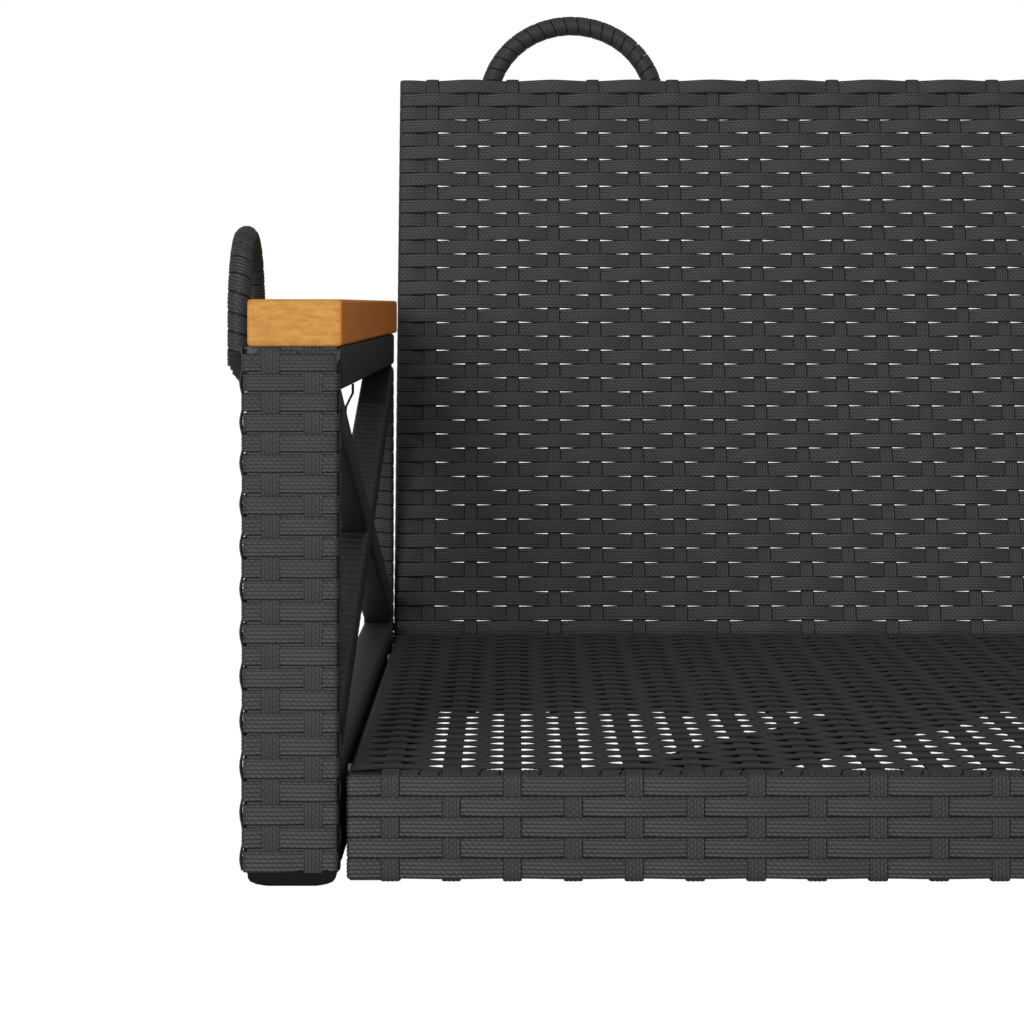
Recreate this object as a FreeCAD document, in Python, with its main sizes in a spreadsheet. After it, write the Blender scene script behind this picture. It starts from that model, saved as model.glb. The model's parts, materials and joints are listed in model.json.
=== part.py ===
import FreeCAD, Part
import math
import os

# Porch swing: a woven bench that hangs from four rope loops.
# Steel tube frame, flat plastic rattan woven round it, wooden armrests.
# Left is -X, the front faces -Y, and Z = 0 is the underside of the feet.

DIMS = [
    # alias, mm, meaning
    ("SeatWidth", 990.0, "seat, over the weave"),
    ("SeatDepth", 476.0, "seat, front apron to rear apron"),
    ("SeatTop", 45.6, "top of the seat weave"),
    ("SeatBottom", 0.6, "underside of the strips round the side rails"),
    ("Strip", 1.25, "thickness of one rattan strip"),
    ("Weave", 2.5, "thickness of two crossing strips"),
    ("Rail", 20.0, "square frame tube"),
    ("RailWall", 1.5, "wall of the square tubes"),
    ("RailBottom", 3.1, "underside of the seat's cross rails"),
    ("SideRailHeight", 41.25, "seat side rail, height"),
    ("BayX", 166.0, "crossbars, from the middle"),
    ("Brace", 16.0, "tube of the diagonals"),
    ("EdgeRod", 6.0, "rod under the seat's front and rear lips"),
    ("BackWidth", 992.8, "back, over the weave"),
    ("BackFootY", 496.6, "front of the back where the line crosses BackFootZ"),
    ("BackFootZ", 44.0, "height of that point"),
    ("BackUp", 329.3, "from that point up the slope to the top edge"),
    ("BackDown", 36.8, "from that point down the slope to the bottom edge"),
    ("Recline", 16.0, "degrees from upright"),
    ("TopRail", 15.0, "back's top rail, height"),
    ("BackLoopX", 394.5, "middle of a back loop, from the middle"),
    ("BackLoopRadius", 50.0, "back loop, radius of its centre line"),
    ("BackLoopDrop", 11.0, "centre of a back loop, below the top edge"),
    ("BackLoopOuter", 11.0, "back loop, over the wrapping"),
    ("BackLoopRod", 8.0, "back loop, rod"),
    ("ArmGap", 2.5, "between seat and arm"),
    ("ArmWidth", 37.5, "arm, over the strips"),
    ("Slim", 16.5, "slim members of the arm, over the strips"),
    ("ArmTop", 211.0, "underside of the armrest"),
    ("ArmRail", 18.0, "arm top rail, over the strips"),
    ("ArmDepth", 510.0, "front post to the back of the rear post"),
    ("LowTop", 48.5, "top of the arm's lower rail"),
    ("LowRail", 43.0, "arm lower rail, over the strips"),
    ("Foot", 4.3, "thickness of a foot below the post"),
    ("WoodWidth", 37.0, "armrest width"),
    ("WoodThick", 18.4, "armrest thickness"),
    ("WoodFront", 3.0, "armrest, in front of the post"),
    ("WoodRear", 15.0, "armrest, behind the rear post"),
    ("WoodOver", 1.05, "armrest, over the arm's inner face"),
    ("ArmLoopY", 64.5, "middle of an arm loop"),
    ("ArmLoopHalf", 33.5, "arm loop, half the width between centres"),
    ("ArmLoopRise", 30.0, "arm loop, rise of the arch"),
    ("ArmLoopSpring", 225.2, "height where the arch begins"),
    ("ArmLoopFoot", 203.0, "height where a leg turns in to the rail"),
    ("ArmLoopOuter", 9.5, "arm loop, over the wrapping"),
    ("ArmLoopRod", 7.0, "arm loop, rod"),
    ("Bolt", 6.0, "frame bolt diameter"),
    ("Screw", 4.0, "armrest screw diameter"),
    ("DepthMid", 306.6, "front apron to the middle of the whole depth"),
]
D = dict((alias, value) for alias, value, meaning in DIMS)

doc = FreeCAD.newDocument("PorchSwing")
sheet = doc.addObject("Spreadsheet::Sheet", "Dimensions")
for row, (alias, value, meaning) in enumerate(DIMS, start=1):
    sheet.set("A%d" % row, meaning)
    sheet.set("B%d" % row, str(value))
    sheet.setAlias("B%d" % row, alias)
doc.recompute()

V = FreeCAD.Vector
PARTS = []
S = "Dimensions."

# Frames: the whole object stands at the middle of its depth, the back leans.
WORLD = FreeCAD.Placement(V(0, -D["DepthMid"], 0), FreeCAD.Rotation())
TILT = FreeCAD.Rotation(V(1, 0, 0), -D["Recline"])
BACK = FreeCAD.Placement(V(0, D["BackFootY"] - D["DepthMid"], D["BackFootZ"]), TILT)


def bind(obj, **sizes):
    """Bind sizes of an object to cells of the sheet."""
    for prop, text in sizes.items():
        obj.setExpression(prop, text)
    return obj


def expr(text):
    """Turn words of a size into sheet references."""
    out = text
    for alias in sorted(D, key=len, reverse=True):
        out = out.replace(alias, "\0%d\1" % [d[0] for d in DIMS].index(alias))
    for i, (alias, value, meaning) in enumerate(DIMS):
        out = out.replace("\0%d\1" % i, S + alias)
    return out


def value_of(text):
    """Value in mm of a size written with sheet words."""
    total, sign, word = 0.0, 1.0, ""
    for token in text.replace("-", " - ").replace("+", " + ").split():
        if token == "+":
            sign = 1.0
        elif token == "-":
            sign = -1.0
        else:
            factor = 1.0
            for piece in token.split("*"):
                factor *= D[piece] if piece in D else float(piece)
            total += sign * factor
            sign = 1.0
    return total


def box(size, at, frame=WORLD, turn=None, name="Box"):
    """A block: size as three texts, at as three numbers in its frame."""
    obj = doc.addObject("Part::Box", name)
    bind(obj, Length=expr(size[0]), Width=expr(size[1]), Height=expr(size[2]))
    local = FreeCAD.Placement(V(*at), turn or FreeCAD.Rotation())
    obj.Placement = frame.multiply(local)
    return obj


def rod(radius, length, at, axis, frame=WORLD, name="Rod"):
    """A round bar from a point along an axis; radius and length are texts."""
    obj = doc.addObject("Part::Cylinder", name)
    bind(obj, Radius=expr(radius), Height=expr(length))
    local = FreeCAD.Placement(V(*at), FreeCAD.Rotation(V(0, 0, 1), V(*axis)))
    obj.Placement = frame.multiply(local)
    return obj


def fuse(shapes, name="Fuse"):
    obj = doc.addObject("Part::MultiFuse", name)
    obj.Shapes = shapes
    obj.Refine = False
    return obj


def cut(base, tools, name="Cut"):
    tool = tools[0] if len(tools) == 1 else fuse(tools, name + "_tools")
    obj = doc.addObject("Part::Cut", name)
    obj.Base, obj.Tool = base, tool
    return obj


def common(base, tool, name="Common"):
    obj = doc.addObject("Part::Common", name)
    obj.Base, obj.Tool = base, tool
    return obj


def keep(label, *objs):
    """Name the solids of one node."""
    for obj in objs:
        obj.Label = label if len(objs) == 1 else "%s_%d" % (label, objs.index(obj) + 1)
    PARTS.append((label, objs))
    return objs[0]


def tube(size, at, along, wall="RailWall", frame=WORLD, turn=None, name="Tube"):
    """A square tube: the wall is left on the two sides across its length."""
    outer = box(size, at, frame, turn, name + "_outer")
    t = value_of(wall)
    inner_size, inner_at = [], []
    for axis in range(3):
        if axis == along:
            inner_size.append(size[axis] + " + 2")
            inner_at.append(-1.0)
        else:
            inner_size.append(size[axis] + " - 2*" + wall)
            inner_at.append(t)
    inner = box(inner_size, (0, 0, 0), frame, turn, name + "_bore")
    inner.Placement = outer.Placement.multiply(FreeCAD.Placement(V(*inner_at), FreeCAD.Rotation()))
    return cut(outer, [inner], name)


HALF = D["SeatWidth"] / 2
SIDE_IN = HALF - D["Strip"] - D["Rail"] - D["Strip"]
FRAME_TOP = D["SeatTop"] - D["Weave"]
REAR = D["SeatDepth"]

# Bolt places: (x, y, z) of the axis.
FRONT_BOLT = (62.0, 35.0)
LOW_BOLT = (430.0, 35.0)
STILE_BOLT = (502.0, 31.0)
BACK_BOLT_X = (-330.0, 0.0, 330.0)
BACK_BOLT_Z = 16.0
HOLE = "0.5*Bolt"


def across(at_y, at_z, x0, length, radius=HOLE, sign=1, name="Hole"):
    """A round tool or bolt along X, on the side given by sign."""
    start = x0 if sign > 0 else -x0
    return rod(radius, length, (start, at_y, at_z), (sign, 0, 0), name=name)


# ---------------------------------------------------------------- seat frame
inner_len = "SeatWidth - 4*Strip - 2*Rail"
for label, y0 in (("seat_rail_front", D["Weave"]), ("seat_rail_rear", REAR - D["Weave"] - D["Rail"])):
    rail = tube((inner_len, "Rail", "Rail"), (-SIDE_IN, y0, D["RailBottom"]), 0, name=label)
    if label.endswith("rear"):
        holes = [rod(HOLE, "Rail + 4", (x, y0 - 2, BACK_BOLT_Z), (0, 1, 0)) for x in BACK_BOLT_X]
        rail = cut(rail, holes, label + "_drilled")
    keep(label, rail)

for label, x0 in (("seat_side_rail_left", -HALF + D["Strip"]), ("seat_side_rail_right", SIDE_IN + D["Strip"])):
    rail = tube(("Rail", "SeatDepth - 2*Weave", "SideRailHeight"),
                (x0, D["Weave"], FRAME_TOP - D["SideRailHeight"]), 1, name=label)
    holes = [across(y, z, x0 - 2, "Rail + 4") for y, z in (FRONT_BOLT, LOW_BOLT)]
    keep(label, cut(rail, holes, label + "_drilled"))

rod_y = D["Weave"] + D["EdgeRod"] / 2
rod_z = FRAME_TOP - D["EdgeRod"] / 2
for label, y in (("seat_edge_rod_front", rod_y), ("seat_edge_rod_rear", REAR - rod_y)):
    keep(label, rod("0.5*EdgeRod", inner_len, (-SIDE_IN, y, rod_z), (1, 0, 0), name=label))

for side, sign in (("left", -1), ("right", 1)):
    label = "seat_crossbar_" + side
    x = sign * D["BayX"] - D["Rail"] / 2
    keep(label, tube(("Rail", "SeatDepth - 2*Weave - 2*EdgeRod", "Rail"),
                     (x, D["Weave"] + D["EdgeRod"], FRAME_TOP - D["Rail"]), 1, name=label))

# The diagonals lie low in the outer bays, mitred to the corner and the rear rail.
bay_y = REAR - 2 * (D["Weave"] + D["Rail"])
bay_x = SIDE_IN - D["BayX"]
turn_deg = math.degrees(math.atan2(bay_y, bay_x))
for side, sign in (("left", -1), ("right", 1)):
    label = "seat_diagonal_" + side
    angle = turn_deg if sign < 0 else 180 - turn_deg
    rot = FreeCAD.Rotation(V(0, 0, 1), angle)
    start = V(sign * SIDE_IN, D["Weave"] + D["Rail"], D["RailBottom"] + 1.4)
    corner = start + rot.multVec(V(-30, -D["Brace"] / 2, 0))
    bar = tube(("640", "Brace", "Brace"), (corner.x, corner.y, corner.z), 0, turn=rot, name=label)
    bay = box(("SeatWidth - 4*Strip - 2*Rail", "SeatDepth - 2*Weave - 2*Rail", "Rail"),
              (-SIDE_IN, D["Weave"] + D["Rail"], D["RailBottom"]), name=label + "_bay")
    keep(label, common(bar, bay, label + "_mitred"))

# ---------------------------------------------------------------- seat weave
keep("seat_weave", box(("SeatWidth", "SeatDepth - 2*Weave", "Weave"),
                       (-HALF, D["Weave"], FRAME_TOP), name="seat_weave"))
for label, y0 in (("seat_apron_front", 0.0), ("seat_apron_rear", REAR - D["Weave"])):
    panel = box(("SeatWidth", "Weave", "SeatTop - 2.3"), (-HALF, y0, 2.3), name=label)
    if label.endswith("rear"):
        holes = [rod(HOLE, "Weave + 4", (x, y0 - 2, BACK_BOLT_Z), (0, 1, 0)) for x in BACK_BOLT_X]
        panel = cut(panel, holes, label + "_drilled")
    keep(label, panel)

# Strips of the rows pass down the outside, under the rail and up its inside.
for side, sign in (("left", -1), ("right", 1)):
    label = "seat_side_wrap_" + side
    out_x = -HALF if sign < 0 else HALF - D["Strip"]
    in_x = -SIDE_IN - D["Strip"] if sign < 0 else SIDE_IN
    low_x = -HALF if sign < 0 else SIDE_IN
    outer = box(("Strip", "SeatDepth - 2*Weave", "SeatTop - Weave - SeatBottom"),
                (out_x, D["Weave"], D["SeatBottom"]), name=label + "_outside")
    under = box(("Rail + 2*Strip", "SeatDepth - 2*Weave", "Strip"),
                (low_x, D["Weave"], D["SeatBottom"]), name=label + "_under")
    inside = box(("Strip", "SeatDepth - 2*Weave", "SeatTop - Weave - SeatBottom"),
                 (in_x, D["Weave"], D["SeatBottom"]), name=label + "_inside")
    skin = fuse([outer, under, inside], label + "_skin")
    x_from = -HALF - 2 if sign < 0 else HALF + 2 - 30
    holes = [across(y, z, x_from, "30") for y, z in (FRONT_BOLT, LOW_BOLT)]
    keep(label, cut(skin, holes, label + "_drilled"))

# ---------------------------------------------------------------- back frame
BW = D["BackWidth"] / 2
stile_in = BW - D["Strip"] - D["Rail"]
slope = "BackUp + BackDown"
w0 = -D["BackDown"]


for side, x0 in (("left", -BW + D["Strip"]), ("right", stile_in)):
    label = "back_stile_" + side
    bar = tube(("Rail", "Rail", slope + " - Strip"), (x0, D["Weave"], w0), 2, frame=BACK, name=label)
    keep(label, cut(bar, [across(STILE_BOLT[0], STILE_BOLT[1], x0 - 2, "Rail + 4")], label + "_drilled"))

tilt = math.radians(D["Recline"])
for label, w, high in (("back_rail_bottom", w0, "Rail"),
                       ("back_rail_top", D["BackUp"] - D["Strip"] - D["TopRail"], "TopRail")):
    bar = tube(("BackWidth - 2*Strip - 2*Rail", "Rail", high), (-stile_in, D["Weave"], w), 0,
               frame=BACK, name=label)
    if label.endswith("bottom"):
        holes = [rod(HOLE, "50", (x, REAR, BACK_BOLT_Z), (0, 1, 0)) for x in BACK_BOLT_X]
        bar = cut(bar, holes, label + "_drilled")
    keep(label, bar)
keep("back_upright_middle", tube(("Rail", "Rail", slope + " - Strip - Rail - TopRail"),
                                 (-D["Rail"] / 2, D["Weave"], w0 + D["Rail"]), 2, frame=BACK,
                                 name="back_upright_middle"))

panel = box(("BackWidth", "Weave", slope), (-BW, 0, w0), frame=BACK, name="back_weave_panel")
holes = [rod(HOLE, "40", (x, REAR - 5, BACK_BOLT_Z), (0, 1, 0)) for x in BACK_BOLT_X]
keep("back_weave", cut(panel, holes, "back_weave"))

# Over the top rail the stakes turn back and end behind it.
over = box(("BackWidth", "Rail + Strip", "Strip"), (-BW, D["Weave"], D["BackUp"] - D["Strip"]),
           frame=BACK, name="back_top_wrap_over")
behind = box(("BackWidth - 2*Strip - 2*Rail", "Strip", "TopRail + Strip"),
             (-stile_in, D["Weave"] + D["Rail"], D["BackUp"] - D["TopRail"] - D["Strip"]),
             frame=BACK, name="back_top_wrap_behind")
skin = fuse([over, behind], "back_top_wrap_skin")
loop_v = D["Weave"] + D["Rail"] / 2


def hoop(sign, radius, name):
    """A round bar bent to a circle that stands in the back's plane."""
    ring = doc.addObject("Part::Torus", name)
    bind(ring, Radius1=expr("BackLoopRadius"), Radius2=expr(radius))
    local = FreeCAD.Placement(V(sign * D["BackLoopX"], loop_v, D["BackUp"] - D["BackLoopDrop"]),
                              FreeCAD.Rotation(V(1, 0, 0), 90))
    ring.Placement = BACK.multiply(local)
    return ring


leg_holes = [hoop(s, "0.5*BackLoopOuter", "back_top_wrap_leg") for s in (-1, 1)]
keep("back_top_wrap", cut(skin, leg_holes, "back_top_wrap_open"))

for side, sign in (("left", -1), ("right", 1)):
    label = "back_side_wrap_" + side
    out_x = -BW if sign < 0 else BW - D["Strip"]
    rear_x = -BW if sign < 0 else stile_in
    outside = box(("Strip", "Rail + Strip", slope + " - Strip"), (out_x, D["Weave"], w0),
                  frame=BACK, name=label + "_outside")
    rear = box(("Rail + Strip", "Strip", slope + " - Strip"), (rear_x, D["Weave"] + D["Rail"], w0),
               frame=BACK, name=label + "_rear")
    skin = fuse([outside, rear], label + "_skin")
    hole = across(STILE_BOLT[0], STILE_BOLT[1], out_x - 2, "8")
    keep(label, cut(skin, [hole], label + "_drilled"))


# ---------------------------------------------------------------- rope loops
def arch(label, half, rise, leg, frame):
    """Centre line of a loop: leg, three tangent arcs, leg, in the frame's XZ plane."""
    sk = doc.addObject("Sketcher::SketchObject", label + "_line")
    side_r = 0.62 * half if rise > 0.62 * half else 0.5 * rise
    a, b = half - side_r, rise - side_r
    c = (a * a - b * b) / (2 * b)
    top_r = rise + c
    ang = math.atan2(c, a)
    pt = V(a + side_r * math.cos(ang), side_r * math.sin(ang), 0)
    z = V(0, 0, 1)
    sk.addGeometry(Part.LineSegment(V(-half, -leg, 0), V(-half, 0, 0)), False)
    sk.addGeometry(Part.ArcOfCircle(Part.Circle(V(-a, 0, 0), z, side_r), math.pi - ang, math.pi), False)
    sk.addGeometry(Part.ArcOfCircle(Part.Circle(V(0, -c, 0), z, top_r), ang, math.pi - ang), False)
    sk.addGeometry(Part.ArcOfCircle(Part.Circle(V(a, 0, 0), z, side_r), 0, ang), False)
    sk.addGeometry(Part.LineSegment(V(half, 0, 0), V(half, -leg, 0)), False)
    sk.Placement = frame
    return sk


def sweep(line, radius, leg, half, frame, label):
    """A round bar along a loop's centre line."""
    ring = doc.addObject("Part::Circle", label + "_section")
    bind(ring, Radius=expr(radius))
    ring.Placement = frame.multiply(FreeCAD.Placement(V(-half, -leg, 0), FreeCAD.Rotation(V(1, 0, 0), -90)))
    bar = doc.addObject("Part::Sweep", label)
    bar.Sections = [ring]
    bar.Spine = (line, ["Edge%d" % i for i in range(1, 6)])
    bar.Solid = True
    bar.Frenet = False
    return bar


upright = FreeCAD.Rotation(V(1, 0, 0), 90)
for side, sign in (("left", -1), ("right", 1)):
    name = "back_loop_" + side
    above = [box(("200", "40", "80"), (sign * D["BackLoopX"] - 100, -10, D["BackUp"] - D["Strip"]),
                 frame=BACK, name=name + "_above") for i in range(2)]
    keep(name, common(hoop(sign, "0.5*BackLoopRod", name + "_ring"), above[0], name + "_bar"))
    skin = common(hoop(sign, "0.5*BackLoopOuter", name + "_outer"), above[1], name + "_skin")
    core = hoop(sign, "0.5*BackLoopRod", name + "_core")
    keep("back_loop_wrap_" + side, cut(skin, [core], name + "_wrap"))

# ---------------------------------------------------------------- arms
ARM_IN = HALF + D["ArmGap"]
ARM_OUT = ARM_IN + D["ArmWidth"]
t = D["Strip"]
LOOPS = {}


def side_x(sign, inner, width):
    """Low X of a piece whose inner face is at this distance from the middle."""
    return inner if sign > 0 else -(inner + width)


for side, sign in (("left", -1), ("right", 1)):
    # front post and its woven sleeve
    post_top = D["ArmTop"] - D["Foot"]
    x0 = side_x(sign, ARM_IN, D["ArmWidth"])
    label = "arm_front_post_" + side
    bar = tube(("ArmWidth - 2*Strip", "Slim - 2*Strip", "ArmTop - Foot"), (x0 + t, t, D["Foot"]), 2, name=label)
    keep(label, bar)
    label = "arm_post_weave_" + side
    keep(label, tube(("ArmWidth", "Slim", "ArmTop - Foot"), (x0, 0, D["Foot"]), 2, wall="Strip", name=label))

    # top rail, from the post's sleeve to the rear
    rail_z = D["ArmTop"] - D["ArmRail"]
    screws = [(x0 + D["ArmWidth"] / 2, y) for y in (125.0, 430.0)]
    label = "arm_top_rail_" + side
    bar = tube(("ArmWidth - 2*Strip", "ArmDepth - Slim - Strip", "ArmRail - 2*Strip"),
               (x0 + t, D["Slim"], rail_z + t), 1, name=label)
    keep(label, cut(bar, [rod("0.5*Screw", "ArmRail + 4", (x, y, rail_z - 2), (0, 0, 1))
                          for x, y in screws], label + "_drilled"))
    sleeve_top = tube(("ArmWidth", "ArmDepth - Slim - Strip", "ArmRail"), (x0, D["Slim"], rail_z), 1,
                      wall="Strip", name="arm_wrap_top_" + side)
    sleeve_top = cut(sleeve_top, [rod("0.5*Screw", "ArmRail + 4", (x, y, rail_z - 2), (0, 0, 1))
                                  for x, y in screws], "arm_wrap_top_open_" + side)

    # rear post
    xs = side_x(sign, ARM_IN, D["Slim"])
    rear_y = D["ArmDepth"] - D["Slim"]
    label = "arm_rear_post_" + side
    bar = tube(("Slim - 2*Strip", "Slim - 2*Strip", "ArmTop - ArmRail - Foot"),
               (xs + t, rear_y + t, D["Foot"]), 2, name=label)
    keep(label, cut(bar, [across(STILE_BOLT[0], STILE_BOLT[1], xs - 2, "Slim + 4")], label + "_drilled"))
    sleeve_rear = tube(("Slim", "Slim", "ArmTop - ArmRail - Foot"), (xs, rear_y, D["Foot"]), 2,
                       wall="Strip", name="arm_wrap_rear_" + side)
    sleeve_rear = cut(sleeve_rear, [across(STILE_BOLT[0], STILE_BOLT[1], xs - 2, "Slim + 4")],
                      "arm_wrap_rear_open_" + side)

    # lower rail between the posts
    low_z = D["LowTop"] - D["LowRail"]
    label = "arm_lower_rail_" + side
    bar = tube(("Slim - 2*Strip", "ArmDepth - 2*Slim", "LowRail - 2*Strip"),
               (xs + t, D["Slim"], low_z + t), 1, name=label)
    holes = [across(y, z, xs - 2, "Slim + 4") for y, z in (FRONT_BOLT, LOW_BOLT)]
    keep(label, cut(bar, holes, label + "_drilled"))
    sleeve_low = tube(("Slim", "ArmDepth - 2*Slim", "LowRail"), (xs, D["Slim"], low_z), 1,
                      wall="Strip", name="arm_wrap_low_" + side)
    holes = [across(y, z, xs - 2, "Slim + 4") for y, z in (FRONT_BOLT, LOW_BOLT)]
    sleeve_low = cut(sleeve_low, holes, "arm_wrap_low_open_" + side)
    keep("arm_wrap_" + side, sleeve_top, sleeve_rear, sleeve_low)

    # crossed braces in the panel between the rails and posts
    panel_y0, panel_y1 = D["Slim"], rear_y
    panel_z0, panel_z1 = D["LowTop"], rail_z
    start, end = V(0, 37.5, 57.5), V(0, 484.0, 184.0)
    run = math.degrees(math.atan2(end.z - start.z, end.y - start.y))
    bars = {}
    for name, angle, low in (("rising", run, True), ("falling", 180 - run, False)):
        rot = FreeCAD.Rotation(V(1, 0, 0), angle)
        base = V(0, start.y if low else end.y, start.z)
        corner = base + rot.multVec(V(0, -60, -(D["Slim"] / 2 - t)))
        label = "arm_brace_%s_%s" % (name, side)
        bars[name] = tube(("Slim - 2*Strip", "600", "Slim - 2*Strip"),
                          (xs + t, corner.y, corner.z), 1, turn=rot, name=label)
        panel = box(("Slim", "ArmDepth - 2*Slim", "ArmTop - ArmRail - LowTop"),
                    (xs, panel_y0, panel_z0), name=label + "_panel")
        bars[name] = common(bars[name], panel, label + "_mitred")
    keep("arm_brace_rising_" + side, bars["rising"])
    rot = FreeCAD.Rotation(V(1, 0, 0), run)
    corner = V(0, start.y, start.z) + rot.multVec(V(0, -60, -(D["Slim"] / 2 - t)))
    clear = box(("Slim", "600", "Slim - 2*Strip"), (xs, corner.y, corner.z), turn=rot,
                name="arm_brace_clear_" + side)
    keep("arm_brace_falling_" + side, cut(bars["falling"], [clear], "arm_brace_halves_" + side))

    # wooden armrest
    wood_x = side_x(sign, ARM_IN - D["WoodOver"], D["WoodWidth"])
    label = "armrest_" + side
    block = box(("WoodWidth", "ArmDepth + WoodFront + WoodRear", "WoodThick"),
                (wood_x, -D["WoodFront"], D["ArmTop"]), name=label + "_block")
    soft = doc.addObject("Part::Fillet", label + "_rounded")
    soft.Base = block
    doc.recompute()
    soft.Edges = [(i + 1, 1.6, 1.6) for i in range(len(block.Shape.Edges))]
    pilots = [rod("0.5*Screw", "12", (x, y, D["ArmTop"] - 1), (0, 0, 1)) for x, y in screws]
    keep(label, cut(soft, pilots, label + "_drilled"))

    # rope loop on the outer side; the right one is the left one mirrored
    if sign > 0:
        for name in ("arm_loop", "arm_loop_wrap"):
            twin = doc.addObject("Part::Mirroring", name + "_mirror")
            twin.Source = LOOPS[name]
            twin.Base, twin.Normal = V(0, 0, 0), V(1, 0, 0)
            keep(name + "_right", twin)
        continue
    cx = sign * (ARM_OUT + D["ArmLoopOuter"] / 2)
    along_y = FreeCAD.Rotation(V(0, 0, 1), 90).multiply(upright)
    frame = WORLD.multiply(FreeCAD.Placement(V(cx, D["ArmLoopY"], D["ArmLoopSpring"]), along_y))
    half, rise = D["ArmLoopHalf"], D["ArmLoopRise"]
    leg = D["ArmLoopSpring"] - D["ArmLoopFoot"]
    name = "arm_loop_" + side
    keep_in = box(("ArmLoopOuter + 2", "200", "200"),
                  (side_x(sign, ARM_OUT, D["ArmLoopOuter"] + 2), -30, 150), name=name + "_side")
    solids = []
    for part_name, radius in (("rod", "0.5*ArmLoopRod"), ("outer", "0.5*ArmLoopOuter"),
                              ("core", "0.5*ArmLoopRod")):
        line = arch(name + "_" + part_name, half, rise, leg, frame)
        pieces = [sweep(line, radius, leg, half, frame, name + "_" + part_name)]
        for y in (D["ArmLoopY"] - half, D["ArmLoopY"] + half):
            pieces.append(rod(radius, "16", (cx, y, D["ArmLoopFoot"]), (-sign, 0, -1)))
            ball = doc.addObject("Part::Sphere", name + "_bend")
            bind(ball, Radius=expr(radius))
            ball.Placement = WORLD.multiply(FreeCAD.Placement(V(cx, y, D["ArmLoopFoot"]), FreeCAD.Rotation()))
            pieces.append(ball)
        solids.append(common(fuse(pieces, name + "_all_" + part_name), keep_in, name + "_cut_" + part_name))
    LOOPS["arm_loop"] = keep(name, solids[0])
    LOOPS["arm_loop_wrap"] = keep("arm_loop_wrap_" + side, cut(solids[1], [solids[2]], name + "_wrap"))

# ---------------------------------------------------------------- feet
def foot(width, depth, x_mid, y_mid, name):
    """A push-in glide: tapered sole, plug inside the tube."""
    sole = doc.addObject("Part::Wedge", name + "_sole")
    sole.Xmin, sole.Xmax = -width / 2 + 3, width / 2 - 3
    sole.Zmin, sole.Zmax = -depth / 2 + 2, depth / 2 - 2
    sole.Ymin = 0
    sole.X2min, sole.X2max = -width / 2, width / 2
    sole.Z2min, sole.Z2max = -depth / 2, depth / 2
    sole.setExpression("Ymax", expr("Foot"))
    turn = FreeCAD.Rotation(V(1, 0, 0), 90)
    sole.Placement = WORLD.multiply(FreeCAD.Placement(V(x_mid, y_mid, 0), turn))
    wall = 2 * D["RailWall"] + 0.6
    plug = doc.addObject("Part::Box", name + "_plug")
    plug.Length, plug.Width, plug.Height = width - wall, depth - wall, 12
    plug.Placement = WORLD.multiply(FreeCAD.Placement(
        V(x_mid - (width - wall) / 2, y_mid - (depth - wall) / 2, D["Foot"] - 1), FreeCAD.Rotation()))
    return fuse([sole, plug], name)


wide, slim = D["ArmWidth"] - 2 * t, D["Slim"] - 2 * t
front = [foot(wide, slim, s * (ARM_IN + D["ArmWidth"] / 2), D["Slim"] / 2, "foot_front_%s" % n)
         for s, n in ((-1, "l"), (1, "r"))]
keep("feet_front", *front)
rear = [foot(slim, slim, s * (ARM_IN + D["Slim"] / 2), D["ArmDepth"] - D["Slim"] / 2, "foot_rear_%s" % n)
        for s, n in ((-1, "l"), (1, "r"))]
keep("feet_rear", *rear)


# ---------------------------------------------------------------- fasteners
def bolt(at, axis, length, name):
    """Round-headed bolt: the head is outside, the shank goes along the axis."""
    head_at = V(*at) - V(*axis) * 3.0
    head = rod("Bolt", "3", (head_at.x, head_at.y, head_at.z), axis, name=name + "_head")
    shank = rod("0.5*Bolt", str(length), at, axis, name=name + "_shank")
    return fuse([head, shank], name)


def nut(at, axis, name):
    """Hexagon nut on the shank's end."""
    ring = doc.addObject("Part::Prism", name + "_hexagon")
    ring.Polygon = 6
    bind(ring, Circumradius=expr("0.96*Bolt"), Height="5")
    local = FreeCAD.Placement(V(*at), FreeCAD.Rotation(V(0, 0, 1), V(*axis)))
    ring.Placement = WORLD.multiply(local)
    back = V(*at) - V(*axis) * 2
    hole = rod("0.5*Bolt", "9", (back.x, back.y, back.z), axis)
    return cut(ring, [hole], name)


side_bolts, back_bolts, nuts, spacers = [], [], [], []
for sign in (-1, 1):
    axis = (-sign, 0, 0)
    far = sign * SIDE_IN
    span = ARM_IN + D["Slim"] - SIDE_IN
    for y, z in (FRONT_BOLT, LOW_BOLT):
        side_bolts.append(bolt((sign * (ARM_IN + D["Slim"]), y, z), axis, span + 7, "side_bolt"))
        nuts.append(nut((far, y, z), axis, "nut"))
    y, z = STILE_BOLT
    side_bolts.append(bolt((sign * (ARM_IN + D["Slim"]), y, z), axis, span + 7, "stile_bolt"))
    nuts.append(nut((sign * stile_in, y, z), axis, "nut"))

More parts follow.
